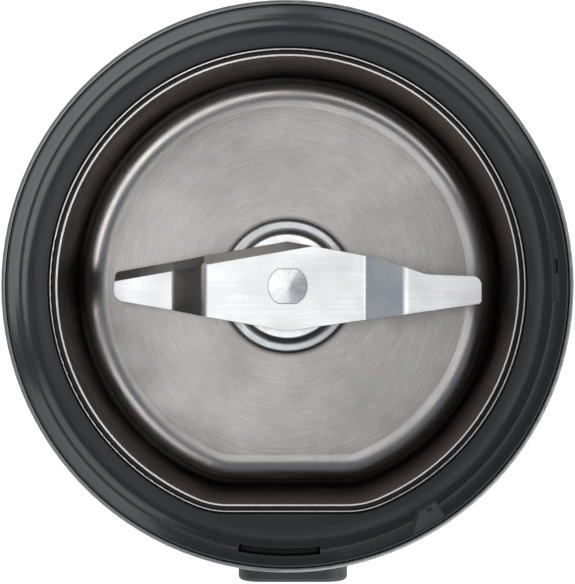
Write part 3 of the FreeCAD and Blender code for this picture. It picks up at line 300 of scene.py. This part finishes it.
def gloss_plastic(name, color):
    """Polished black moulding with faint waviness and wiping marks. The ledge of the lid well is
    dulled by use, and the well's wall is shaded as if it leaned upwards."""
    finish = Finish(name, color, roughness=0.16)
    finish.soft_edges(radius=0.0002)
    cloud = finish.noise(finish.coordinates, scale=60.0)
    turned = finish.around_z(turn_scale=6.0, height_scale=900.0, radius_scale=900.0)
    wipes = finish.noise(turned, detail=4.0, rough=0.65)
    waves = finish.noise(finish.coordinates, scale=220.0, detail=2.0)
    finish.vary_color(cloud, low=0.85, high=1.25)
    x, y, z = finish.axes(finish.coordinates)
    dulling = finish.span(
        z, ledge_dulling, 0.0, ledge_height + ledge_margin, ledge_height + ledge_fade
    )
    roughness = finish.math("ADD", finish.span(wipes, low=0.11, high=0.24), dulling)
    finish.link(roughness, finish.surface.inputs["Roughness"])
    radius = finish.radius(x, y)
    flare = finish.span(z, 0.0, well_flare, flare_low, flare_high)
    within = finish.math("LESS_THAN", radius, finish.math("ADD", flare, well_radius))
    above = finish.math("GREATER_THAN", z, ledge_height - ledge_margin)
    lean = finish.span(radius, 0.0, wall_lean, lean_start, lean_full)
    finish.lean_up(finish.product(within, above, lean))
    finish.bump(waves, distance=0.000012)
    return finish.material


def rubber(name, color):
    """Soft black rubber with a dusty mottling."""
    finish = Finish(name, color, roughness=0.75)
    finish.soft_edges(radius=0.0003)
    cloud = finish.noise(finish.coordinates, scale=90.0, detail=4.0, rough=0.6)
    grain = finish.noise(finish.coordinates, scale=3500.0, detail=2.0)
    finish.vary_color(cloud, low=0.7, high=1.6)
    finish.vary_roughness(cloud, low=0.68, high=0.86)
    finish.bump(grain, distance=0.00002)
    return finish.material


def round_brushed(name, color, roughness, turn_scale, line_scale, depth, dark_above=None):
    """Metal with fine lines that run round Z, darker above a height if one is given."""
    finish = Finish(name, color, metallic=1.0, roughness=roughness)
    finish.soft_edges(radius=0.00015)
    fine = finish.around_z(turn_scale, height_scale=line_scale, radius_scale=line_scale)
    coarse = finish.around_z(turn_scale=2.0, height_scale=60.0, radius_scale=60.0)
    lines = finish.noise(fine, detail=5.0, rough=0.7)
    broad = finish.noise(coarse, detail=2.0)
    finish.vary_color(lines, low=0.86, high=1.1)
    finish.vary_roughness(broad, low=roughness - 0.05, high=roughness + 0.07)
    finish.bump(lines, depth)
    if dark_above is not None:
        height = finish.axes(finish.coordinates)[2]
        share = finish.span(height, 1.0, 0.0, dark_above, dark_above + lip_fade)
        finish.tone(share, factor=lip_tone)
    return finish.material


def long_brushed(name, color, roughness, factors, depth):
    """Metal with fine straight lines, along the axis with the smallest factor."""
    finish = Finish(name, color, metallic=1.0, roughness=roughness)
    finish.soft_edges(radius=0.00012)
    lines = finish.noise(finish.scaled(factors), detail=5.0, rough=0.7)
    cloud = finish.noise(finish.coordinates, scale=120.0)
    finish.vary_color(lines, low=0.92, high=1.05)
    finish.vary_roughness(cloud, low=roughness - 0.05, high=roughness + 0.08)
    finish.bump(lines, depth)
    return finish.material


def plain_metal(name, color, roughness, mottle):
    """Metal with a slight mottle and no direction."""
    finish = Finish(name, color, metallic=1.0, roughness=roughness)
    finish.soft_edges(radius=0.00012)
    cloud = finish.noise(finish.coordinates, scale=mottle, detail=4.0, rough=0.6)
    finish.vary_color(cloud, low=0.85, high=1.12)
    finish.vary_roughness(cloud, low=roughness - 0.06, high=roughness + 0.1)
    finish.bump(cloud, distance=0.00001)
    return finish.material


def laminated(name, color):
    """Sheets stacked along Z."""
    finish = Finish(name, color, metallic=0.8, roughness=0.5)
    height = finish.axes(finish.coordinates)[2]
    sheets = finish.math("SINE", finish.product(height, 2 * math.pi / sheet_thickness))
    stripes = finish.span(sheets, low=0.25, high=0.75, low_in=-1.0, high_in=1.0)
    finish.vary_color(stripes, low=0.6, high=1.3)
    finish.bump(sheets, distance=0.00004)
    return finish.material


def wound_wire(name, color):
    """Enamelled wire wound round an axis."""
    finish = Finish(name, color, metallic=0.7, roughness=0.35)
    wound = finish.around_z(turn_scale=3.0, height_scale=2600.0, radius_scale=2600.0)
    strands = finish.noise(wound, detail=1.0)
    finish.vary_color(strands, low=0.55, high=1.35)
    finish.bump(strands, distance=0.00012)
    return finish.material


def bowl_pressed(name, color):
    """Deep-drawn stainless steel: upright draw lines on the wall, spun rings on the floor. The
    inside of the wall and the narrow grooves get painted shade, the rim's channel is darkened,
    and the tops of the ridges get a painted highlight."""
    finish = Finish(name, color, metallic=1.0, roughness=0.24)
    finish.set("Specular Tint", (*bowl_grazing_tint, 1))
    finish.soft_edges(radius=0.00015)
    upright = finish.noise(finish.scaled((900.0, 900.0, 14.0)), detail=5.0, rough=0.7)
    spun = finish.around_z(turn_scale=5.0, height_scale=40.0, radius_scale=2600.0)
    rings = finish.noise(spun, detail=5.0, rough=0.7)
    cloud = finish.noise(finish.coordinates, scale=70.0, detail=4.0, rough=0.6)
    normal = finish.node("ShaderNodeNewGeometry").outputs["Normal"]
    levelness = finish.math("ABSOLUTE", finish.axes(normal)[2])
    flat = finish.span(levelness, 0.0, 1.0, flat_start, flat_full)
    mix = finish.node("ShaderNodeMix", data_type="FLOAT")
    finish.link(flat, mix.inputs["Factor"])
    finish.link(upright, mix.inputs["A"])
    finish.link(rings, mix.inputs["B"])
    lines = mix.outputs["Result"]
    finish.vary_color(lines, low=0.88, high=1.08)
    finish.vary_roughness(cloud, low=0.18, high=0.34)
    finish.bump(lines, distance=0.000012)

    # Painted shade: steep faces that look inwards, the inside of the wall, get a darker colour
    outward = finish.node("ShaderNodeVectorMath", operation="DOT_PRODUCT")
    finish.link(normal, outward.inputs[0])
    finish.link(finish.scaled((1.0, 1.0, 0.0)), outward.inputs[1])
    outside = finish.math("GREATER_THAN", outward.outputs["Value"], 0.0)
    elsewhere = finish.math("MAXIMUM", flat, outside)
    finish.tone(finish.math("MAXIMUM", elsewhere, inner_wall_share), inner_wall_shade_tone)

    height = finish.axes(finish.coordinates)[2]
    beside = finish.math("ABSOLUTE", finish.math("SUBTRACT", height, channel_height))
    channel = finish.product(flat, finish.span(beside, 1.0, 0.0, channel_margin, channel_fade))
    finish.tone(finish.math("SUBTRACT", 1.0, channel), channel_tone)
    # Painted shade: the colour is darkened where ambient occlusion finds a narrow groove
    open_sky = finish.open_share(groove_reach)
    finish.tone(finish.span(open_sky, 0.0, 1.0, groove_closed, groove_open), groove_shade_tone)
    # Painted highlight: the colour is brightened on the tops of the rim's ridges
    finish.tone(finish.span(height, 1.0, 0.0, ridge_low, ridge_high), ridge_highlight_tone)
    return finish.material


def finishes():
    """One material for each of the record's slots."""
    return {
        "black_matte_plastic": moulded_plastic(
            "black_matte", (0.02, 0.02, 0.021), 0.5, grain_size=0.0004, grain_depth=0.00003
        ),
        "black_gloss_plastic": gloss_plastic("black_gloss", (0.014, 0.0155, 0.0185)),
        "grey_inner_plastic": moulded_plastic(
            "inner_grey", (0.07, 0.07, 0.075), 0.55, grain_size=0.0006, grain_depth=0.00002
        ),
        "foot_rubber": rubber("soft_rubber", (0.022, 0.022, 0.022)),
        "zinc_screw": plain_metal("zinc_plate", (0.52, 0.53, 0.54), 0.32, mottle=900.0),
        "brushed_sleeve_steel": round_brushed(
            "sleeve_steel", (0.35, 0.35, 0.355), 0.34,
            turn_scale=14.0, line_scale=5000.0, depth=0.000015, dark_above=lip_height,
        ),
        "bowl_steel": bowl_pressed("bowl_pressed_steel", (0.37, 0.345, 0.325)),
        "polished_steel": round_brushed(
            "turned_steel", (0.77, 0.765, 0.75), 0.22,
            turn_scale=6.0, line_scale=3500.0, depth=0.000006,
        ),
        "blade_steel": long_brushed(
            "blade_brushed", (0.74, 0.735, 0.715), 0.26,
            factors=(60.0, 2200.0, 2200.0), depth=0.000006,
        ),
        "ground_steel": round_brushed(
            "ground_steel", (0.76, 0.755, 0.735), 0.24,
            turn_scale=8.0, line_scale=3500.0, depth=0.000006,
        ),
        "motor_bracket_steel": plain_metal("bracket_zinc", (0.46, 0.47, 0.48), 0.4, mottle=300.0),
        "lamination_steel": laminated("lamination", (0.2, 0.2, 0.21)),
        "cast_aluminium": round_brushed(
            "turned_aluminium", (0.6, 0.6, 0.595), 0.3,
            turn_scale=5.0, line_scale=2400.0, depth=0.00001,
        ),
        "sintered_bronze": plain_metal("sintered_bronze", (0.45, 0.28, 0.13), 0.45, mottle=1500.0),
        "brass_sheet": plain_metal("brass_sheet", (0.62, 0.47, 0.2), 0.3, mottle=250.0),
        "copper_winding": wound_wire("enamelled_copper", (0.46, 0.17, 0.07)),
        "copper_bar": round_brushed(
            "turned_copper", (0.62, 0.28, 0.14), 0.28,
            turn_scale=4.0, line_scale=2600.0, depth=0.00001,
        ),
        "carbon": moulded_plastic(
            "pressed_carbon", (0.03, 0.03, 0.032), 0.6, grain_size=0.0003, grain_depth=0.00002
        ),
        "spring_steel": plain_metal("drawn_wire", (0.5, 0.5, 0.51), 0.3, mottle=500.0),
        "capacitor_case": moulded_plastic(
            "capacitor_yellow", (0.52, 0.36, 0.08), 0.3, grain_size=0.0008, grain_depth=0.00001
        ),
        "switch_case": moulded_plastic(
            "switch_black", (0.045, 0.045, 0.05), 0.5, grain_size=0.0005, grain_depth=0.00002
        ),
        "switch_pin": moulded_plastic(
            "switch_red", (0.5, 0.08, 0.06), 0.4, grain_size=0.0006, grain_depth=0.00001
        ),
    }


def dress_nodes():
    """Gives each node the material of its slot."""
    made = finishes()
    slots = {part["node"]: part["material_slot"] for part in frame["record"]["subparts"]}
    for name, node in nodes.items():
        for place in node.material_slots:
            place.material = made[slots[name]]


def show(made):
    bpy.context.scene.collection.objects.link(made)


def pressed_spring(node_name):
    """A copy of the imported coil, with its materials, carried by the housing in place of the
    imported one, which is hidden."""
    node = nodes[node_name]
    spring = bpy.data.objects.new(node_name + "_coil", node.data.copy())
    show(spring)
    for place, source in zip(spring.material_slots, node.material_slots):
        place.material = source.material
    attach(spring, "housing")
    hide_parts(node_name)
    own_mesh(spring)


# Studio

def ray_share(tree, kinds):
    """One where a ray is of any of these kinds, else zero."""
    path = tree.nodes.new("ShaderNodeLightPath")
    total = path.outputs[kinds[0]]
    for kind in kinds[1:]:
        joined = tree.nodes.new("ShaderNodeMath")
        joined.operation = "MAXIMUM"
        tree.links.new(total, joined.inputs[0])
        tree.links.new(path.outputs[kind], joined.inputs[1])
        total = joined.outputs[0]
    return total


def make_world():
    """Even pale light all round. Where it is seen it is white, and a mirror shows a white
    backdrop round the object below a dimmer, slightly blue ceiling."""
    world = bpy.data.worlds.new("studio")
    bpy.context.scene.world = world
    world.use_nodes = True
    tree = world.node_tree
    tree.nodes.clear()
    even = tree.nodes.new("ShaderNodeBackground")
    even.inputs["Color"].default_value = (*world_color, 1)
    even.inputs["Strength"].default_value = world_level
    direction = tree.nodes.new("ShaderNodeSeparateXYZ")
    generated = tree.nodes.new("ShaderNodeTexCoord").outputs["Generated"]
    tree.links.new(generated, direction.inputs[0])
    ramp = tree.nodes.new("ShaderNodeValToRGB")
    steps = ((backdrop_top, (1, 1, 1)), (ceiling_start, ceiling_color))
    for end, (position, color) in zip(ramp.color_ramp.elements, steps):
        end.position = position
        end.color = (*color, 1)
    tree.links.new(direction.outputs[2], ramp.inputs["Fac"])
    mirrored = tree.nodes.new("ShaderNodeBackground")
    tree.links.new(ramp.outputs["Color"], mirrored.inputs["Color"])
    white = tree.nodes.new("ShaderNodeBackground")
    white.inputs["Color"].default_value = (1, 1, 1, 1)
    surface = even.outputs[0]
    layers = ((mirrored, ("Is Glossy Ray", "Is Transmission Ray")), (white, ("Is Camera Ray",)))
    for layer, kinds in layers:
        mix = tree.nodes.new("ShaderNodeMixShader")
        tree.links.new(ray_share(tree, kinds), mix.inputs["Fac"])
        tree.links.new(surface, mix.inputs[1])
        tree.links.new(layer.outputs[0], mix.inputs[2])
        surface = mix.outputs[0]
    out = tree.nodes.new("ShaderNodeOutputWorld")
    tree.links.new(surface, out.inputs["Surface"])


def make_lamp(name, place, width, height, radiance):
    """A soft rectangular lamp that faces the middle of the rim."""
    data = bpy.data.lights.new(name, "AREA")
    data.shape = "RECTANGLE"
    data.size = width
    data.size_y = height
    data.energy = radiance * math.pi * width * height
    lamp = bpy.data.objects.new(name, data)
    show(lamp)
    lamp.location = place
    away = lamp.location - Vector((0, 0, rim_height))
    lamp.rotation_euler = away.to_track_quat("Z", "Y").to_euler()


def make_floor():
    """A pale floor that looks white and keeps the shadow."""
    mesh = bpy.data.meshes.new("studio_floor")
    ends = ((-1, -1), (1, -1), (1, 1), (-1, 1))
    corners = [(x * floor_reach, y * floor_reach, 0) for x, y in ends]
    mesh.from_pydata(corners, [], [(0, 1, 2, 3)])
    floor = bpy.data.objects.new("studio_floor", mesh)
    show(floor)
    material = bpy.data.materials.new("studio_floor")
    material.use_nodes = True
    tree = material.node_tree
    surface = tree.nodes["Principled BSDF"]
    surface.inputs["Base Color"].default_value = (floor_white, floor_white, floor_white, 1)
    surface.inputs["Roughness"].default_value = floor_roughness
    surface.inputs["Specular IOR Level"].default_value = floor_specular
    glow = tree.nodes.new("ShaderNodeMath")
    glow.operation = "MULTIPLY"
    glow.inputs[1].default_value = floor_glow
    seen = ray_share(tree, ("Is Camera Ray", "Is Glossy Ray", "Is Transmission Ray"))
    tree.links.new(seen, glow.inputs[0])
    surface.inputs["Emission Color"].default_value = (1, 1, 1, 1)
    tree.links.new(glow.outputs[0], surface.inputs["Emission Strength"])
    mesh.materials.append(material)


def make_camera():
    """Straight above the rim, with the object a little above the picture's middle."""
    data = bpy.data.cameras.new("camera")
    data.sensor_fit = "VERTICAL"
    data.sensor_height = sensor_height_mm
    data.lens = sensor_height_mm * camera_distance / (picture_height_px * rim_scale)
    data.shift_y = -object_rise_px / picture_height_px
    data.clip_start = nearest_view
    camera = bpy.data.objects.new("camera", data)
    show(camera)
    camera.location = (0, 0, rim_height + camera_distance)
    bpy.context.scene.camera = camera


dress_nodes()
pressed_spring("button_spring")
pressed_spring("interlock_springs")
make_world()
for lamp in lamps:
    make_lamp(*lamp)
make_floor()
make_camera()
bpy.context.scene.view_settings.view_transform = "Standard"
